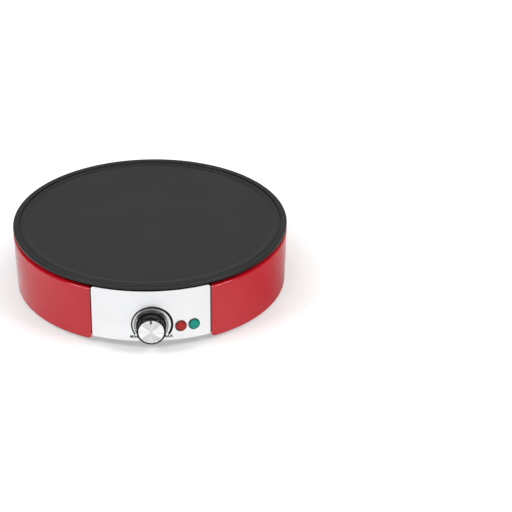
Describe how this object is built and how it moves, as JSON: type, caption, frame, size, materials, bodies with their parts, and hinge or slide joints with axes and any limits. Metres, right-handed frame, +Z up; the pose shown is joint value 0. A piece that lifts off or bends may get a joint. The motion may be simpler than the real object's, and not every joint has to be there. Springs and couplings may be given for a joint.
{
  "type": "electric crepe maker",
  "caption": "Low round electric crepe maker: black hot plate on a red drum with a wide silver control panel, a thermostat knob and indicator lenses.",
  "frame": {"origin": "on the drum's axis, at the level of the surface that the feet stand on", "axes": "+Z up through the hot plate; the control panel and knob face -Y; +X is to the right seen from the front"},
  "size_m": [0.32, 0.3367, 0.08],
  "materials": {
    "plate_coating": "matt black non-stick coating on cast aluminium",
    "red_enamel": "glossy red stove enamel",
    "satin_silver": "fine satin, brushed across",
    "black_moulding": "fine-grained black moulding",
    "knob_black": "semi-gloss black",
    "cap_silver": "turned face, brushed round the centre",
    "red_lens": "clear tinted lens",
    "green_lens": "clear tinted lens",
    "foot_rubber": "matt",
    "zinc_steel": "zinc plated",
    "spring_steel": "spring temper",
    "element_sheath": "heat-tinted sheath",
    "bright_sheet": "bright rolled sheet",
    "ceramic": "unglazed white ceramic",
    "brass": "plain",
    "copper": "plain copper",
    "thermostat_moulding": "brown phenolic",
    "clear_glass": "clear neon bulb",
    "white_nylon": "natural nylon",
    "glass_sleeving": "woven glass-fibre sleeving",
    "wire_brown": "silicone insulation",
    "wire_blue": "silicone insulation",
    "wire_earth": "green and yellow insulation",
    "wire_white": "silicone insulation"
  },
  "bodies": {
    "housing": {"hot_plate": "plate_coating", "side_wall": "red_enamel", "control_panel": "satin_silver", "panel_carrier": "black_moulding", "base_pan": "black_moulding", "feet": "foot_rubber", "base_screws": "zinc_steel", "carrier_screws": "zinc_steel", "plate_screws": "zinc_steel", "plate_spacers": "zinc_steel", "heat_reflector": "bright_sheet", "heating_element": "element_sheath", "element_pins": "zinc_steel", "element_seals": "ceramic", "element_clamps": "zinc_steel", "clamp_screws": "zinc_steel", "thermostat_bush": "brass", "thermostat_bracket": "zinc_steel", "thermostat_screws": "zinc_steel", "thermostat_housing": "thermostat_moulding", "thermostat_capsule": "copper", "switch_blade": "spring_steel", "switch_contacts": "brass", "fixed_contact_arm": "brass", "thermostat_terminals": "brass", "sensor_bulb": "copper", "capillary_tube": "copper", "bulb_clips": "zinc_steel", "thermal_fuse": "zinc_steel", "fuse_sleeve": "glass_sleeving", "fuse_clip": "zinc_steel", "earth_tag": "brass", "clip_screws": "zinc_steel", "lens_red": "red_lens", "lens_green": "green_lens", "lamp_holders": "black_moulding", "neon_bulbs": "clear_glass", "lamp_resistors": "white_nylon", "cord_gland": "black_moulding", "terminal_block": "white_nylon", "block_screws": "brass", "wire_live": "wire_brown", "wire_fused": "wire_brown", "wire_switched": "wire_white", "wire_neutral": "wire_blue", "wire_earth": "wire_earth", "wire_lamp_red": "wire_white", "wire_lamp_green": "wire_white", "push_connectors": "brass"},
    "thermostat_knob": {"knob": "knob_black", "knob_cap": "cap_silver", "knob_clip": "spring_steel", "thermostat_spindle": "zinc_steel"},
    "adjuster_nut": {"thermostat_adjuster": "brass"}
  },
  "joints": [
    {"name": "knob_turn", "type": "hinge", "parent": "housing", "child": "thermostat_knob", "pos_m": [0, -0.16, 0.0314], "axis": [0, 1, 0], "range_deg": [-125, 125]},
    {"name": "adjuster_travel", "type": "slide", "parent": "housing", "child": "adjuster_nut", "axis": [0, -1, 0], "range_m": [-0.00035, 0.00035]}
  ],
  "couplings": [
    {"joint": "adjuster_travel", "follows": "knob_turn", "m_per_rad": 0.00015915}
  ]
}
